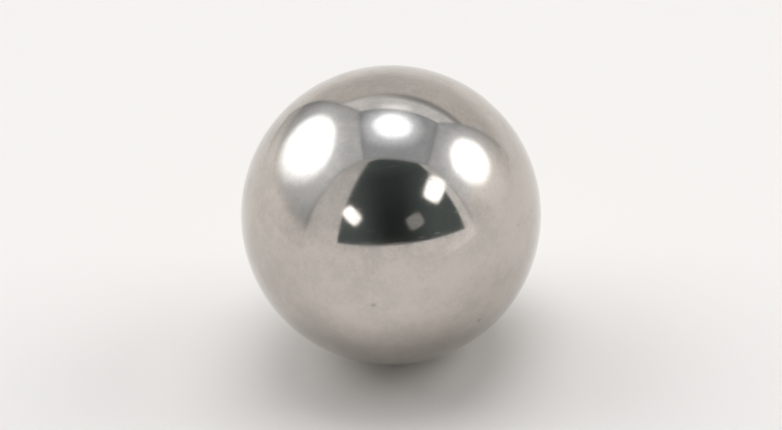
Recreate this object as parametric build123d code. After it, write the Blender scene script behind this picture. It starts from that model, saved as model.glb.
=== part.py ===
from build123d import *
import os

# A solid steel ball, headed, ground and lapped from one piece of metal.
# It is a true sphere, with no flat, hole or seam anywhere on it.
# The origin is the ball's centre and +Z is up. Sizes are in millimetres.

ball_diameter = 25.4  # the one-inch size


def steel_ball():
    """The whole ball, one closed solid about the origin."""
    return Sphere(radius=ball_diameter / 2)


os.makedirs("parts", exist_ok=True)
export_step(steel_ball(), "parts/steel_ball.step")
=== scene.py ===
import math

import bmesh
import bpy
from bpy.props import (
    FloatProperty,
    FloatVectorProperty,
    IntProperty,
    PointerProperty,
)
from bpy.types import Operator, Panel, PropertyGroup
from mathutils import Matrix, Vector


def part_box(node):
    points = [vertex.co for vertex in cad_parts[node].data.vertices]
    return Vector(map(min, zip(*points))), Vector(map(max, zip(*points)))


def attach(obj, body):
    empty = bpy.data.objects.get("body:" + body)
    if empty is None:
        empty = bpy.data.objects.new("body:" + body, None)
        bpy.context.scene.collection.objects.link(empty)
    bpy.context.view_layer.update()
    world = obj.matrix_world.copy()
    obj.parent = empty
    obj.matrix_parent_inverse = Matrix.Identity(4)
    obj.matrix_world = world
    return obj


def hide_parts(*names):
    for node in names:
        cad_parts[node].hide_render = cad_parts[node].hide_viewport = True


# A one-inch steel ball, ground and lapped to a mirror finish.
# A mirror shows little but what stands round it, so the stage is a photographer's light tent:
# pale cloth walls that glow with painted lamp light, three round lamps behind them, an open front.
# The tent is there only for the ball to reflect. The camera sees the ball on a pale floor.

bl_info = {
    "name": "Steel Ball",
    "version": (1, 0, 0),
    "blender": (4, 5, 0),
    "location": "View3D > Sidebar > Steel Ball",
    "description": "Makes a mirror-polished steel ball and the light tent that it is shown in",
    "category": "Add Mesh",
}

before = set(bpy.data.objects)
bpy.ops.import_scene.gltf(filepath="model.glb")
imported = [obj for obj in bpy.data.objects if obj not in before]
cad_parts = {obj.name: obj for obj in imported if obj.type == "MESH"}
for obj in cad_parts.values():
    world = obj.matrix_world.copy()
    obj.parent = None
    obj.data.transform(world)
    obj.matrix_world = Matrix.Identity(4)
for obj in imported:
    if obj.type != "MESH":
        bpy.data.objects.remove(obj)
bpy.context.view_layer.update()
ball_low, ball_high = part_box("steel_ball")


def largest_radius_inside(low, high):
    """The radius of the largest ball about the origin that stays inside the CAD node's box."""
    return min(*high, *(-corner for corner in low))


class PolishedBallSettings(PropertyGroup):
    """Size and finish of the ball itself."""

    radius: FloatProperty(
        name="Radius",
        description="Half the ball's diameter, as the CAD node has it",
        default=largest_radius_inside(ball_low, ball_high),
        min=0.001,
        unit="LENGTH",
        precision=5,
    )
    fineness: IntProperty(
        name="Fineness",
        description="At 1 the ball's skin has twenty faces, and each step more divides them in four",
        default=7,
        min=3,
        max=7,
    )
    steel_colour: FloatVectorProperty(
        name="Steel colour",
        description="What the bare polished steel reflects, face on",
        default=(0.545, 0.506, 0.466),
        min=0.0,
        max=1.0,
        size=3,
        subtype="COLOR",
    )
    film_colour: FloatVectorProperty(
        name="Filmed colour",
        description="What the steel reflects where the film from handling is thickest",
        default=(0.480, 0.450, 0.418),
        min=0.0,
        max=1.0,
        size=3,
        subtype="COLOR",
    )
    polish: FloatProperty(
        name="Roughness",
        description="Roughness where the lapped surface is clean",
        default=0.075,
        min=0.0,
        max=1.0,
        subtype="FACTOR",
    )
    film: FloatProperty(
        name="Film",
        description="How much roughness the film adds in its thickest patches",
        default=0.045,
        min=0.0,
        max=1.0,
        subtype="FACTOR",
    )
    film_patch: FloatProperty(
        name="Film patch",
        description="Distance from one patch of film to the next",
        default=0.0045,
        min=0.001,
        unit="LENGTH",
        precision=4,
    )
    film_offset: FloatVectorProperty(
        name="Film offset",
        description="Moves the pattern of the film, so that cleaner steel faces the floor in front",
        default=(0.279, 0.423, -0.171),
        size=3,
        subtype="TRANSLATION",
    )
    scratch_depth: FloatProperty(
        name="Scratch depth",
        description="Depth of the hairline scratches and of the small pits",
        default=0.0000001,
        min=0.0,
        unit="LENGTH",
        precision=6,
    )


class LightTentSettings(PropertyGroup):
    """The tent, its lamps, the floor and the camera."""

    floor_colour: FloatVectorProperty(
        name="Floor colour",
        description="The pale floor that the ball lies on",
        default=(0.92, 0.90, 0.88),
        min=0.0,
        max=1.0,
        size=3,
        subtype="COLOR",
    )
    # The tent's walls glow, and the cloth and paper colours below are the levels of that painted light.
    side_colour: FloatVectorProperty(
        name="Side walls",
        description="The cloth to the left and right, away from its lamps",
        default=(0.70, 0.73, 0.76),
        min=0.0,
        max=1.0,
        size=3,
        subtype="COLOR",
    )
    roof_colour: FloatVectorProperty(
        name="Roof",
        description="The cloth overhead, away from its lamp",
        default=(0.475, 0.51, 0.55),
        min=0.0,
        max=1.0,
        size=3,
        subtype="COLOR",
    )
    back_colour: FloatVectorProperty(
        name="Back wall",
        description="The cloth at the back, above the paper",
        default=(0.90, 0.915, 0.935),
        min=0.0,
        max=1.0,
        size=3,
        subtype="COLOR",
    )
    paper_colour: FloatVectorProperty(
        name="Backdrop paper",
        description="The warmer paper that hangs down the back wall",
        default=(0.725, 0.712, 0.69),
        min=0.0,
        max=1.0,
        size=3,
        subtype="COLOR",
    )
    front_colour: FloatVectorProperty(
        name="Front wall",
        description="The cloth beside the doorway and the sill under it",
        default=(0.74, 0.735, 0.73),
        min=0.0,
        max=1.0,
        size=3,
        subtype="COLOR",
    )
    room_colour: FloatVectorProperty(
        name="Room colour",
        description="The dark room that shows through the doorway",
        default=(0.104, 0.127, 0.128),
        min=0.0,
        max=1.0,
        size=3,
        subtype="COLOR",
    )
    lamp_strength: FloatProperty(
        name="Lamp strength",
        description="How much a lamp adds to the cloth in front of it, where 1 is white",
        default=2.2,
        min=0.0,
    )
    window_strength: FloatProperty(
        name="Window strength",
        description="Brightness of the room's two bright windows, where 1 is white",
        default=2.6,
        min=0.0,
    )
    dim_window_strength: FloatProperty(
        name="Dim window strength",
        description="Brightness of the room's third window, where 1 is white",
        default=0.36,
        min=0.0,
    )
    even_light: FloatProperty(
        name="Even light",
        description="How brightly the world lights the floor from all round, besides the lamps",
        default=0.24,
        min=0.0,
    )
    camera_distance: FloatProperty(
        name="Camera distance",
        description="From the camera to the ball's centre",
        default=0.3495,
        min=0.05,
        unit="LENGTH",
    )
    camera_elevation: FloatProperty(
        name="Camera elevation",
        description="How far the camera stands above the ball's level",
        default=math.radians(34.4),
        subtype="ANGLE",
    )
    camera_roll: FloatProperty(
        name="Camera roll",
        description="How far upright things lean to the left in the picture",
        default=math.radians(6.1),
        subtype="ANGLE",
    )
    camera_lens: FloatProperty(
        name="Lens",
        description="Focal length of the camera, in millimetres",
        default=190.0,
        min=10.0,
    )


def add_node(tree, kind, inputs=None, **settings):
    """Adds a node to a node tree. inputs gives a value or another node's output for each socket."""
    node = tree.nodes.new(kind)
    for name, value in settings.items():
        setattr(node, name, value)
    for name, value in (inputs or {}).items():
        if isinstance(value, bpy.types.NodeSocket):
            tree.links.new(value, node.inputs[name])
        else:
            node.inputs[name].default_value = value
    return node


def add_maths(tree, operation, *values):
    """Adds a Math node and gives its output."""
    node = add_node(tree, "ShaderNodeMath", dict(enumerate(values)), operation=operation)
    return node.outputs["Value"]


def add_ramp(tree, value, start, end, low=0.0, high=1.0):
    """Turns a value that runs from start to end into one that eases from low to high."""
    node = add_node(
        tree,
        "ShaderNodeMapRange",
        {"Value": value, "From Min": start, "From Max": end, "To Min": low, "To Max": high},
        interpolation_type="SMOOTHSTEP",
    )
    return node.outputs["Result"]


def add_colour_mix(tree, factor, first, second):
    """Adds a Mix node for colours and gives its output."""
    node = add_node(tree, "ShaderNodeMix", {"Factor": factor}, data_type="RGBA")
    colour_sockets = [socket for socket in node.inputs if socket.type == "RGBA"]
    for socket, value in zip(colour_sockets, (first, second)):
        if isinstance(value, bpy.types.NodeSocket):
            tree.links.new(value, socket)
        else:
            socket.default_value = (*value, 1.0)
    return next(socket for socket in node.outputs if socket.type == "RGBA")


def times(factor, colour):
    """A colour that is factor times as bright."""
    return [factor * channel for channel in colour]


def new_material(name):
    """A material with an empty node tree."""
    material = bpy.data.materials.new(name)
    material.use_nodes = True
    material.node_tree.nodes.clear()
    return material


def new_group(name, inputs, outputs):
    """A shader node group with its sockets, and its input and output nodes."""
    group = bpy.data.node_groups.new(name, "ShaderNodeTree")
    for socket_name, socket_type, value in inputs:
        socket = group.interface.new_socket(socket_name, in_out="INPUT", socket_type=socket_type)
        socket.default_value = value
    for socket_name, socket_type in outputs:
        group.interface.new_socket(socket_name, in_out="OUTPUT", socket_type=socket_type)
    return group, group.nodes.new("NodeGroupInput"), group.nodes.new("NodeGroupOutput")


def add_group(tree, group, inputs):
    """Places a node group in a node tree."""
    return add_node(tree, "ShaderNodeGroup", inputs, node_tree=group)


def new_object(name, mesh_builder, *materials):
    """An object at the origin whose mesh is what mesh_builder leaves in a bmesh."""
    mesh = bpy.data.meshes.new(name)
    shape = bmesh.new()
    mesh_builder(shape)
    shape.to_mesh(mesh)
    shape.free()
    for material in materials:
        mesh.materials.append(material)
    made = bpy.data.objects.new(name, mesh)
    bpy.context.scene.collection.objects.link(made)
    return made


def hairline_scratches():
    """Long fine scratches that run one way, sparse enough to be single lines."""
    group, given, result = new_group(
        "hairline_scratches",
        [
            ("Vector", "NodeSocketVector", (0.0, 0.0, 0.0)),
            ("Rotation", "NodeSocketVector", (0.0, 0.0, 0.0)),
            ("Rareness", "NodeSocketFloat", 0.7),
        ],
        [("Scratch", "NodeSocketFloat")],
    )
    cells_along, cells_across = 60.0, 5200.0  # of the noise in a metre: few along a scratch, many across
    full_above = 0.05  # a scratch starts where the noise passes Rareness, and is full this much above it
    stretched = add_node(
        group,
        "ShaderNodeMapping",
        {
            "Vector": given.outputs["Vector"],
            "Rotation": given.outputs["Rotation"],
            "Scale": (cells_along, cells_across, cells_across),
        },
    )
    streaks = add_node(
        group,
        "ShaderNodeTexNoise",
        {"Vector": stretched.outputs["Vector"], "Scale": 1.0, "Detail": 0.0},
    )
    full = add_maths(group, "ADD", given.outputs["Rareness"], full_above)
    scratch = add_ramp(group, streaks.outputs["Fac"], given.outputs["Rareness"], full)
    group.links.new(scratch, result.inputs["Scratch"])
    return group


def add_film(tree, place, settings):
    """Where the film from handling lies on the steel: 0 where it is clean, 1 where it is thickest."""
    clean, thickest = 0.42, 0.62  # levels of the noise
    moved = add_node(tree, "ShaderNodeMapping", {"Vector": place, "Location": settings.film_offset})
    patches = add_node(
        tree,
        "ShaderNodeTexNoise",
        {
            "Vector": moved.outputs["Vector"],
            "Scale": 1.0 / settings.film_patch,
            "Detail": 6.0,
            "Roughness": 0.85,
        },
    )
    return add_ramp(tree, patches.outputs["Fac"], clean, thickest)


def add_specks(tree, place):
    """Small dark specks: 1 in the middle of a speck, and 0 away from them."""
    cells_per_metre = 470.0
    edge, middle = 0.17, 0.03  # distances from a cell's point, in cells
    cells_without = 0.93  # the share of the cells that have no speck
    cells = add_node(
        tree,
        "ShaderNodeTexVoronoi",
        {"Vector": place, "Scale": cells_per_metre, "Randomness": 1.0},
    )
    speck = add_ramp(tree, cells.outputs["Distance"], edge, middle)
    draw = add_node(tree, "ShaderNodeSeparateColor", {"Color": cells.outputs["Color"]})
    chosen = add_maths(tree, "GREATER_THAN", draw.outputs["Red"], cells_without)
    return add_maths(tree, "MULTIPLY", speck, chosen)


def add_scratches(tree, place):
    """Three sets of hairline scratches, each of which runs its own way."""
    group = hairline_scratches()
    first, second, third = (
        add_group(tree, group, {"Vector": place, "Rotation": turn, "Rareness": 0.80}).outputs["Scratch"]
        for turn in ((0.3, 0.9, 0.2), (1.2, -0.4, 1.9), (-0.7, 0.5, 2.7))
    )
    return add_maths(tree, "MAXIMUM", add_maths(tree, "MAXIMUM", first, second), third)


def polished_steel(settings):
    """Mirror-lapped steel: bright, a little warm, with a thin film and very fine marks."""
    speck_tone = 0.7  # of the filmed colour
    mark_roughness = 0.10  # how much a speck or a scratch adds
    material = new_material("polished_steel")
    tree = material.node_tree
    place = add_node(tree, "ShaderNodeTexCoord").outputs["Object"]
    film = add_film(tree, place, settings)
    specks = add_specks(tree, place)
    marks = add_maths(tree, "MAXIMUM", add_scratches(tree, place), specks)

    filmed_steel = add_colour_mix(tree, film, settings.steel_colour, settings.film_colour)
    base_colour = add_colour_mix(tree, specks, filmed_steel, times(speck_tone, settings.film_colour))
    filmed = add_maths(tree, "MULTIPLY_ADD", film, settings.film, settings.polish)
    roughness = add_maths(tree, "MULTIPLY_ADD", marks, mark_roughness, filmed)
    depth = add_node(
        tree,
        "ShaderNodeBump",
        {"Height": marks, "Strength": 1.0, "Distance": settings.scratch_depth},
        invert=True,
    )
    shader = add_node(
        tree,
        "ShaderNodeBsdfPrincipled",
        {
            "Base Color": base_colour,
            "Metallic": 1.0,
            "Roughness": roughness,
            "Normal": depth.outputs["Normal"],
        },
    )
    add_node(tree, "ShaderNodeOutputMaterial", {"Surface": shader.outputs["BSDF"]})
    return material


class STEELBALL_OT_polished_ball(Operator):
    """Make the mirror-polished ball, a true sphere in one closed skin"""

    bl_idname = "steel_ball.polished_ball"
    bl_label = "Polished Ball"

    def execute(self, context):
        settings = context.scene.polished_ball

        def round_skin(shape):
            bmesh.ops.create_icosphere(shape, subdivisions=settings.fineness, radius=settings.radius)
            for face in shape.faces:
                face.smooth = True

        ball = new_object("polished_ball", round_skin, polished_steel(settings))
        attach(ball, "root")
        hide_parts("steel_ball")
        return {"FINISHED"}


# Places in the tent are metres from the ball's centre: x to the right, y to the back, z up.
# The ball stands nearer to the left wall and to the front than to the others.
tent_left, tent_right = -0.200, 0.330
tent_front, tent_back = -0.114, 0.330
tent_turn = math.radians(-8.7)  # about the ball, so the camera looks at it a little from the right
lean_start = 0.300  # from here up the left wall leans in, most of all at the front
lean_front, lean_back = 0.080, 0.030
doorway_left, doorway_right = -0.075, 0.229
doorway_right_top = 0.247  # the cloth on this side hangs a little outwards
doorway_corner = 0.090  # at the top left, where the opening is rounded
paper_top = 0.305  # the paper on the back wall ends here, in the shade of its rail
sweep_low, sweep_high = 0.022, 0.062  # where the floor's paper curves up the left wall and ends

# These heights are from the floor.
tent_height = 0.530
doorway_sill, doorway_top = 0.039, 0.518
# The floor's colour on the walls' foot is painted light bounced up from the floor.
bounce_height = 0.110  # up to here the walls take on some of the floor's colour

# The lamps stand behind the cloth. place and radius are those of a lamp's painted bright patch on it.
# strength and spread are those of the light that it throws on the floor, the spread in degrees.
lamps = {
    "left_lamp": {
        "place": (tent_left, 0.090, 0.188), "radius": 0.114, "strength": 1.06, "spread": 50.0,
    },
    "right_lamp": {
        "place": (tent_right, 0.092, 0.217), "radius": 0.109, "strength": 0.90, "spread": 40.0,
    },
    "top_lamp": {
        "place": (0.043, 0.158, 0.517), "radius": 0.103, "strength": 1.27, "spread": 45.0,
    },
}

# The bright spots of the dim room, as the ball sees them. All but the distance are angles in
# degrees. The azimuth runs from straight in front of the ball to the right.
windows = {
    "left_window": {
        "distance": 0.127, "azimuth": -33.8, "elevation": 32.2,
        "width": 10.5, "height": 15.5, "tilt": 58.0,
    },
    "right_window": {
        "distance": 0.178, "azimuth": 47.3, "elevation": 41.0,
        "width": 20.6, "height": 15.4, "tilt": 30.0,
    },
    "dim_window": {
        "distance": 0.400, "azimuth": 19.5, "elevation": 26.3,
        "width": 14.0, "height": 12.0, "tilt": 15.0,
    },
}

# Stretches over which a wall's painted light grows darker or paler: the axis, and where the change
# starts and ends.
towards_floor = ("Z", 0.26, 0.05)
towards_roof = ("Z", 0.24, 0.44)
down_the_sweep = ("Z", sweep_high, sweep_low)
towards_back = ("Y", 0.12, tent_back)
towards_right = ("X", 0.0, tent_right)


def lamp_glow():
    """The patch of cloth that a lamp lights up, as painted light: a bright core, and the paler cloth
    round it.
    """
    group, given, result = new_group(
        "lamp_glow",
        [
            ("Vector", "NodeSocketVector", (0.0, 0.0, 0.0)),
            ("Place", "NodeSocketVector", (0.0, 0.0, 0.0)),
            ("Radius", "NodeSocketFloat", 0.1),
        ],
        [("Core", "NodeSocketFloat"), ("Halo", "NodeSocketFloat")],
    )
    radius = given.outputs["Radius"]
    away = add_node(
        group,
        "ShaderNodeVectorMath",
        {0: given.outputs["Vector"], 1: given.outputs["Place"]},
        operation="DISTANCE",
    ).outputs["Value"]
    core_full, core_edge, halo_edge = (
        add_maths(group, "MULTIPLY", radius, radii) for radii in (0.80, 1.35, 2.2)
    )
    core = add_ramp(group, away, core_edge, core_full)
    halo = add_ramp(group, away, halo_edge, radius)
    group.links.new(core, result.inputs["Core"])
    group.links.new(halo, result.inputs["Halo"])
    return group


def crease_shade():
    """A soft painted shade along the corners where two walls of the tent meet."""
    front_softness = 0.022  # width of the shade at the front of the tent, as Softness is at the back
    group, given, result = new_group(
        "crease_shade",
        [
            ("Vector", "NodeSocketVector", (0.0, 0.0, 0.0)),
            ("Roof", "NodeSocketFloat", 0.5),
            ("Softness", "NodeSocketFloat", 0.05),
        ],
        [("Crease", "NodeSocketFloat")],
    )
    axes = add_node(group, "ShaderNodeSeparateXYZ", {"Vector": given.outputs["Vector"]})
    x, y, z = axes.outputs["X"], axes.outputs["Y"], axes.outputs["Z"]
    full_lean = add_node(
        group,
        "ShaderNodeMapRange",
        {
            "Value": y,
            "From Min": tent_front,
            "From Max": tent_back,
            "To Min": lean_front,
            "To Max": lean_back,
        },
    ).outputs["Result"]
    lean = add_node(
        group,
        "ShaderNodeMapRange",
        {"Value": z, "From Min": lean_start, "From Max": given.outputs["Roof"], "To Max": full_lean},
    ).outputs["Result"]
    left_wall = add_maths(group, "ADD", lean, tent_left)
    from_sides = add_maths(
        group,
        "MINIMUM",
        add_maths(group, "SUBTRACT", x, left_wall),
        add_maths(group, "SUBTRACT", tent_right, x),
    )
    from_ends = add_maths(
        group,
        "MINIMUM",
        add_maths(group, "SUBTRACT", y, tent_front),
        add_maths(group, "SUBTRACT", tent_back, y),
    )
    from_roof = add_maths(group, "SUBTRACT", given.outputs["Roof"], z)

    # The middle one of the three distances is small only where two walls meet.
    nearer = add_maths(group, "MINIMUM", from_sides, from_ends)
    farther = add_maths(group, "MAXIMUM", from_sides, from_ends)
    middle = add_maths(group, "MAXIMUM", nearer, add_maths(group, "MINIMUM", farther, from_roof))
    softness = add_ramp(group, y, tent_front, tent_back, front_softness, given.outputs["Softness"])
    crease = add_ramp(group, middle, softness, 0.0)
    group.links.new(crease, result.inputs["Crease"])
    return group


def add_lamp_glows(tree, place, group):
    """Adds up the glow of the three lamps on a wall: their bright cores, and the halos round them."""
    core, halo = 0.0, 0.0
    for lamp in lamps.values():
        glow = add_group(
            tree,
            group,
            {"Vector": place, "Place": lamp["place"], "Radius": lamp["radius"]},
        )
        core = add_maths(tree, "ADD", glow.outputs["Core"], core)
        halo = add_maths(tree, "ADD", glow.outputs["Halo"], halo)
    return core, halo


def add_folds(tree, place, bounce):
    """The cloth's soft folds, as small changes of painted brightness that end where the floor lights it.
    """
    hollow, crest = 0.25, 0.75  # levels of the noise
    darkest, brightest = 0.95, 1.05
    folds = add_node(tree, "ShaderNodeTexNoise", {"Vector": place, "Scale": 14.0, "Detail": 2.0})
    uneven = add_ramp(tree, folds.outputs["Fac"], hollow, crest, darkest, brightest)
    evened = add_node(tree, "ShaderNodeMix", {"Factor": bounce, "A": uneven, "B": 1.0})
    return evened.outputs["Result"]


def add_corner_shade(tree, place, height, halo, group, roof, softness):
    """How dark the painted shade in a wall's corners is, away from the lamps' halos and from the floor's
    paper.
    """
    darkest = 0.24
    crease = add_group(tree, group, {"Vector": place, "Roof": roof, "Softness": softness})
    unlit = add_maths(tree, "SUBTRACT", darkest, add_maths(tree, "MULTIPLY", halo, darkest))
    unlit = add_maths(tree, "MAXIMUM", unlit, 0.0)
    dark = add_maths(tree, "MULTIPLY", crease.outputs["Crease"], unlit)
    return add_maths(tree, "MULTIPLY", dark, add_ramp(tree, height, sweep_low, sweep_high))


def add_rail_shade(tree, across, height):
    """How dark the painted shade of the rail makes the back wall along the top of the paper, most of all
    to the right.
    """
    full_within, ends_at = 0.012, 0.050  # from the paper's top edge
    left_end, right_end = -0.14, 0.12  # the depth changes between these places
    left_depth, right_depth = 0.12, 0.52
    from_edge = add_maths(tree, "ABSOLUTE", add_maths(tree, "SUBTRACT", height, paper_top))
    shade = add_ramp(tree, from_edge, ends_at, full_within)
    depth = add_ramp(tree, across, left_end, right_end, left_depth, right_depth)
    return add_maths(tree, "MULTIPLY", shade, depth)


def glowing_cloth(
    name, settings, floor_level, groups, colour, halo_gain,
    lower_part=None, softness=0.016, fades=(), has_rail=False,
):
    """One wall of the tent as the ball sees it: its glow is painted light from lamps outside, brightest
    in front of a lamp.

    halo_gain is how much the painted halo round a lamp brightens the cloth. lower_part gives the colour
    of the wall's lower part, up to what height it is pure, and where it has gone over into the rest.
    softness is the width of the corners' painted shade at the back of the tent, and fades holds the
    stretches over which the wall's painted light changes, each with its change.
    """
    material = new_material(name)
    tree = material.node_tree
    place = add_node(tree, "ShaderNodeTexCoord").outputs["Object"]
    axes = add_node(tree, "ShaderNodeSeparateXYZ", {"Vector": place}).outputs
    across, height = axes["X"], axes["Z"]

    if lower_part:
        lower_colour, pure_below, gone_above = lower_part
        lower = add_ramp(tree, height, gone_above, pure_below)
        colour = add_colour_mix(tree, lower, colour, lower_colour)
    bounce = add_ramp(tree, height, floor_level + bounce_height, floor_level)
    cloth = add_colour_mix(tree, bounce, colour, settings.floor_colour)

    core, halo = add_lamp_glows(tree, place, groups["lamp_glow"])
    roof = floor_level + tent_height
    dark = add_corner_shade(tree, place, height, halo, groups["crease_shade"], roof, softness)
    if has_rail:
        dark = add_maths(tree, "MAXIMUM", dark, add_rail_shade(tree, across, height))
    folds = add_folds(tree, place, bounce)
    shade = add_maths(tree, "MULTIPLY", folds, add_maths(tree, "SUBTRACT", 1.0, dark))
    for (axis, start, end), change in fades:
        faded = add_ramp(tree, axes[axis], start, end, 1.0, 1.0 + change)
        shade = add_maths(tree, "MULTIPLY", shade, faded)

    paler = add_maths(tree, "MULTIPLY_ADD", halo, halo_gain, 1.0)
    even = add_maths(tree, "MULTIPLY", paler, shade)
    level = add_maths(tree, "MULTIPLY_ADD", core, settings.lamp_strength, even)
    glowing = add_node(
        tree,
        "ShaderNodeVectorMath",
        {0: cloth, "Scale": level},
        operation="SCALE",
    ).outputs["Vector"]

    light = add_node(tree, "ShaderNodeEmission", {"Color": glowing, "Strength": 1.0})
    add_node(tree, "ShaderNodeOutputMaterial", {"Surface": light.outputs["Emission"]})
    return material


def dim_room(settings):
    """The room beyond the doorway, whose dim light is painted in: darkest straight in front of the ball,
    lighter overhead.
    """
    darkest, dark_above, sides, ceiling = 0.27, 0.42, 1.05, 1.8  # times the room's colour
    low, high, steep = (math.sin(math.radians(elevation)) for elevation in (30, 60, 78))
    dark_middle = 0.03  # the part to the right of a direction of length 1 from the ball
    dark_end, sides_start = 0.05, 0.58  # to either side of dark_middle
    material = new_material("dim_room")
    tree = material.node_tree
    place = add_node(tree, "ShaderNodeTexCoord").outputs["Object"]
    direction = add_node(tree, "ShaderNodeVectorMath", {0: place}, operation="NORMALIZE")
    axes = add_node(tree, "ShaderNodeSeparateXYZ", {"Vector": direction.outputs["Vector"]}).outputs
    middle = add_ramp(tree, axes["Z"], low, high, darkest, dark_above)
    aside = add_maths(tree, "ABSOLUTE", add_maths(tree, "SUBTRACT", axes["X"], dark_middle))
    walls = add_ramp(tree, aside, dark_end, sides_start, middle, sides)
    overhead = add_ramp(tree, axes["Z"], high, steep, 1.0, ceiling)
    strength = add_maths(tree, "MULTIPLY", walls, overhead)
    light = add_node(
        tree,
        "ShaderNodeEmission",
        {"Color": (*settings.room_colour, 1.0), "Strength": strength},
    )
    add_node(tree, "ShaderNodeOutputMaterial", {"Surface": light.outputs["Emission"]})
    return material


def window_light(name, strength):
    """White light from a pane with rounded corners, which fades out at its edges."""
    edge, full = 0.02, 0.45  # of inside, the product that is worked out below
    material = new_material(name)
    tree = material.node_tree
    pane_place = add_node(tree, "ShaderNodeTexCoord").outputs["UV"]
    pane = add_node(tree, "ShaderNodeSeparateXYZ", {"Vector": pane_place})
    inside = 16.0  # so that the product is 1 in the middle of the pane
    for side in (pane.outputs["X"], pane.outputs["Y"]):
        inside = add_maths(tree, "MULTIPLY", side, inside)
        inside = add_maths(tree, "MULTIPLY", add_maths(tree, "SUBTRACT", 1.0, side), inside)
    fade = add_ramp(tree, inside, edge, full)
    clear = add_node(tree, "ShaderNodeBsdfTransparent").outputs["BSDF"]
    light = add_node(
        tree,
        "ShaderNodeEmission",
        {"Color": (1.0, 1.0, 1.0, 1.0), "Strength": strength},
    ).outputs["Emission"]
    faded = add_node(tree, "ShaderNodeMixShader", {0: fade, 1: clear, 2: light})
    add_node(tree, "ShaderNodeOutputMaterial", {"Surface": faded.outputs["Shader"]})
    return material


def pale_floor(settings):
    """A plain matt floor."""
    material = new_material("pale_floor")
    tree = material.node_tree
    shader = add_node(
        tree,
        "ShaderNodeBsdfPrincipled",
        {"Base Color": (*settings.floor_colour, 1.0), "Roughness": 1.0, "Specular IOR Level": 0.0},
    )
    add_node(tree, "ShaderNodeOutputMaterial", {"Surface": shader.outputs["BSDF"]})
    return material


def only_reflected(thing):
    """Lets the ball reflect a thing that the camera and the floor don't see."""
    thing.visible_camera = False
    thing.visible_diffuse = False
    thing.visible_shadow = False


def add_floor(settings, floor_level):
    """A round floor that reaches past the camera's sight."""

    def disc(shape):
        bmesh.ops.create_circle(
            shape, cap_ends=True, segments=64, radius=3.0,
            matrix=Matrix.Translation((0.0, 0.0, floor_level)),
        )

    floor = new_object("floor", disc, pale_floor(settings))


def cut_doorway(shape, wall, middle, floor_level):
    """Cuts the doorway out of the front wall, with its top left corner rounded."""
    front_cloth = wall.material_index
    bmesh.ops.inset_individual(shape, faces=[wall], thickness=0.01)
    for corner in wall.verts:
        upper = corner.co.z > middle.z
        right_side = doorway_right_top if upper else doorway_right
        corner.co.x = doorway_left if corner.co.x < middle.x else right_side
        corner.co.z = floor_level + (doorway_top if upper else doorway_sill)
    top_left = [
        corner for corner in wall.verts
        if corner.co.z > middle.z and corner.co.x < middle.x
    ]
    bmesh.ops.bevel(
        shape, geom=top_left, offset=doorway_corner, segments=8, profile=0.5,
        affect="VERTICES", material=-1,
    )
    front_faces = [face for face in shape.faces if face.material_index == front_cloth]
    opening = max(front_faces, key=lambda face: face.calc_area())
    bmesh.ops.delete(shape, geom=[opening], context="FACES_ONLY")


def lean_left_wall(shape, wall):
    """Lets the left wall lean in from lean_start up."""
    close = 0.001  # well under any other distance in the tent
    bmesh.ops.bisect_plane(
        shape,
        geom=[wall, *wall.edges, *wall.verts],
        plane_co=(0.0, 0.0, lean_start),
        plane_no=(0.0, 0.0, 1.0),
    )
    for corner in shape.verts:
        if corner.co.x < tent_left + close and corner.co.z > lean_start + close:
            corner.co.x += lean_front if corner.co.y < 0.0 else lean_back


def tent_walls(shape, floor_level):
    """Four walls and a roof that face inwards, with no ground."""
    left, right, roof, back, front = range(5)  # the order of the tent's materials
    size = Vector((tent_right - tent_left, tent_back - tent_front, tent_height))
    middle = Vector((
        (tent_left + tent_right) / 2,
        (tent_front + tent_back) / 2,
        floor_level + tent_height / 2,
    ))
    bmesh.ops.create_cube(
        shape, size=1.0, matrix=Matrix.Translation(middle) @ Matrix.Diagonal((*size, 1.0)),
    )
    ground = [face for face in shape.faces if face.normal.z < -0.5]
    bmesh.ops.delete(shape, geom=ground, context="FACES_ONLY")
    for face in shape.faces:
        if face.normal.z > 0.5:
            face.material_index = roof
        elif face.normal.y > 0.5:
            face.material_index = back
        elif face.normal.y < -0.5:
            face.material_index = front
        elif face.normal.x > 0.5:
            face.material_index = right
        else:
            face.material_index = left
    walls = {face.material_index: face for face in shape.faces}
    cut_doorway(shape, walls[front], middle, floor_level)
    lean_left_wall(shape, walls[left])
    bmesh.ops.reverse_faces(shape, faces=shape.faces[:])


def tent_cloths(settings, floor_level):
    """The materials of the tent: left, right, roof, back and front."""
    left_gain = 1.12  # the left wall is a little paler than the right one
    foot_gain = 0.86  # the foot of both is a little darker than the floor
    paper_edge = 0.006  # half the height over which the paper gives way to the cloth
    foot_colour = times(foot_gain, settings.floor_colour)
    groups = {"lamp_glow": lamp_glow(), "crease_shade": crease_shade()}

    def cloth(name, colour, halo_gain, **looks):
        return glowing_cloth(name, settings, floor_level, groups, colour, halo_gain, **looks)

    return (
        cloth(
            "left_cloth",
            times(left_gain, settings.side_colour),
            halo_gain=0.38,
            lower_part=(foot_colour, 0.02, 0.08),
            softness=0.050,
            fades=((towards_floor, -0.36), (down_the_sweep, 0.40), (towards_back, -0.22)),
        ),
        cloth(
            "right_cloth",
            settings.side_colour,
            halo_gain=0.50,
            lower_part=(foot_colour, 0.04, 0.24),
            softness=0.050,
            fades=((towards_back, -0.15),),
        ),
        cloth("roof_cloth", settings.roof_colour, halo_gain=1.25, softness=0.040),
        cloth(
            "back_cloth",
            settings.back_colour,
            halo_gain=1.6,
            lower_part=(settings.paper_colour, paper_top - paper_edge, paper_top + paper_edge),
            has_rail=True,
        ),
        cloth(
            "front_cloth",
            settings.front_colour,
            halo_gain=0.15,
            fades=((towards_roof, -0.20), (towards_right, 0.24)),
        ),
    )


def add_tent(settings, floor_level):
    """The cloth tent that the ball reflects, with its doorway at the front."""
    tent = new_object(
        "light_tent",
        lambda shape: tent_walls(shape, floor_level),
        *tent_cloths(settings, floor_level),
    )
    tent.rotation_euler.z = tent_turn
    only_reflected(tent)


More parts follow.
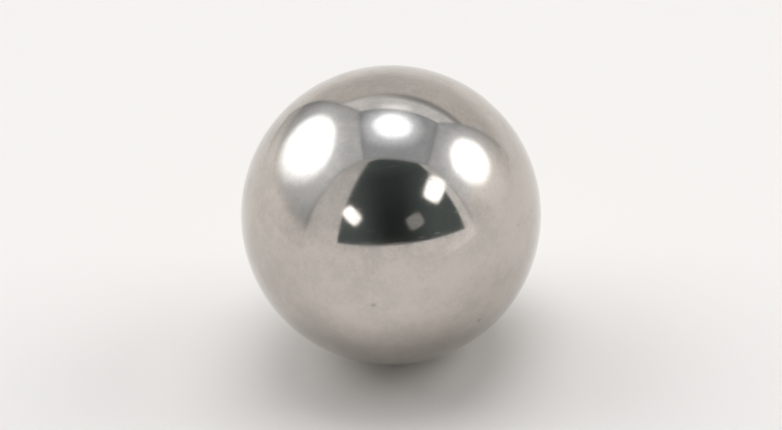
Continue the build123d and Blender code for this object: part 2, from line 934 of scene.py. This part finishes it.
def add_room(settings):
    """The dim room round the tent, seen only through the doorway."""

    def shell(shape):
        bmesh.ops.create_cube(shape, size=4.0)
        bmesh.ops.reverse_faces(shape, faces=shape.faces[:])

    room = new_object("dim_room", shell, dim_room(settings))
    only_reflected(room)


def add_window(name, strength):
    """A small window of the room, which faces the ball."""
    angles = ("azimuth", "elevation", "width", "height", "tilt")
    azimuth, elevation, width, height, tilt = (math.radians(windows[name][angle]) for angle in angles)
    distance = windows[name]["distance"]
    outward = Vector((
        math.sin(azimuth) * math.cos(elevation),
        -math.cos(azimuth) * math.cos(elevation),
        math.sin(elevation),
    ))
    sideways = Vector((math.cos(azimuth), math.sin(azimuth), 0.0))
    upward = outward.cross(sideways)
    facing = Matrix((sideways, upward, outward)).transposed().to_4x4()
    spread = Matrix.Diagonal((
        2 * distance * math.tan(width / 2),
        2 * distance * math.tan(height / 2),
        1.0,
        1.0,
    ))
    place = Matrix.Translation(outward * distance) @ facing @ Matrix.Rotation(tilt, 4, "Z") @ spread

    def pane(shape):
        shape.loops.layers.uv.new("pane")
        bmesh.ops.create_grid(
            shape, x_segments=1, y_segments=1, size=0.5, matrix=place, calc_uvs=True,
        )

    window = new_object(name, pane, window_light(name, strength))
    only_reflected(window)


def add_world(settings):
    """A pale world for the camera, and an even light for the floor."""
    world = bpy.data.worlds.new("pale_world")
    bpy.context.scene.world = world
    world.use_nodes = True
    tree = world.node_tree
    tree.nodes.clear()
    path = add_node(tree, "ShaderNodeLightPath")
    seen = add_maths(tree, "MAXIMUM", path.outputs["Is Camera Ray"], path.outputs["Is Glossy Ray"])
    seen = add_maths(tree, "MAXIMUM", seen, path.outputs["Is Transmission Ray"])
    colour = add_colour_mix(tree, seen, [settings.even_light] * 3, settings.floor_colour)
    light = add_node(tree, "ShaderNodeBackground", {"Color": colour, "Strength": 1.0})
    add_node(tree, "ShaderNodeOutputWorld", {"Surface": light.outputs["Background"]})


def add_lamp(name):
    """A broad soft light that shines from a lamp's place towards the ball."""
    data = bpy.data.lights.new(name, "SUN")
    data.energy = lamps[name]["strength"]
    data.angle = math.radians(lamps[name]["spread"])
    lamp = bpy.data.objects.new(name, data)
    bpy.context.scene.collection.objects.link(lamp)
    towards = Matrix.Rotation(tent_turn, 3, "Z") @ Vector(lamps[name]["place"])
    lamp.location = towards
    lamp.rotation_euler = towards.to_track_quat("Z", "Y").to_euler()
    lamp.visible_glossy = False


def add_camera(settings):
    """A camera that looks straight at the ball."""
    data = bpy.data.cameras.new("camera")
    data.lens = settings.camera_lens
    data.sensor_width = 36.0
    data.clip_start = 0.01
    data.clip_end = 10.0
    camera = bpy.data.objects.new("camera", data)
    bpy.context.scene.collection.objects.link(camera)
    elevation = settings.camera_elevation
    back = Vector((0.0, -math.cos(elevation), math.sin(elevation)))
    camera.location = back * settings.camera_distance
    level = back.to_track_quat("Z", "Y").to_matrix()
    camera.rotation_euler = (level @ Matrix.Rotation(-settings.camera_roll, 3, "Z")).to_euler()
    bpy.context.scene.camera = camera


class STEELBALL_OT_light_tent(Operator):
    """Make the floor, the light tent that the ball reflects, the lamps and the camera"""

    bl_idname = "steel_ball.light_tent"
    bl_label = "Light Tent"

    def execute(self, context):
        settings = context.scene.light_tent
        floor_level = -context.scene.polished_ball.radius
        add_floor(settings, floor_level)
        add_tent(settings, floor_level)
        add_room(settings)
        add_window("left_window", settings.window_strength)
        add_window("right_window", settings.window_strength)
        add_window("dim_window", settings.dim_window_strength)
        add_world(settings)
        for name in lamps:
            add_lamp(name)
        add_camera(settings)
        context.scene.view_settings.view_transform = "Standard"
        return {"FINISHED"}


class STEELBALL_PT_steps(Panel):
    """Lists the ball and its stage, in the order in which they are made"""

    bl_idname = "STEELBALL_PT_steps"
    bl_label = "Steel Ball"
    bl_space_type = "VIEW_3D"
    bl_region_type = "UI"
    bl_category = "Steel Ball"

    def draw(self, context):
        for settings, operator in (
            (context.scene.polished_ball, STEELBALL_OT_polished_ball),
            (context.scene.light_tent, STEELBALL_OT_light_tent),
        ):
            box = self.layout.box()
            for name in settings.__annotations__:
                box.prop(settings, name)
            box.operator(operator.bl_idname)


classes = (
    PolishedBallSettings,
    LightTentSettings,
    STEELBALL_OT_polished_ball,
    STEELBALL_OT_light_tent,
    STEELBALL_PT_steps,
)


def register():
    for one_class in classes:
        bpy.utils.register_class(one_class)
    bpy.types.Scene.polished_ball = PointerProperty(type=PolishedBallSettings)
    bpy.types.Scene.light_tent = PointerProperty(type=LightTentSettings)


def unregister():
    del bpy.types.Scene.light_tent
    del bpy.types.Scene.polished_ball
    for one_class in reversed(classes):
        bpy.utils.unregister_class(one_class)


def main():
    register()
    bpy.ops.steel_ball.polished_ball()
    bpy.ops.steel_ball.light_tent()


if __name__ == "__main__":
    main()
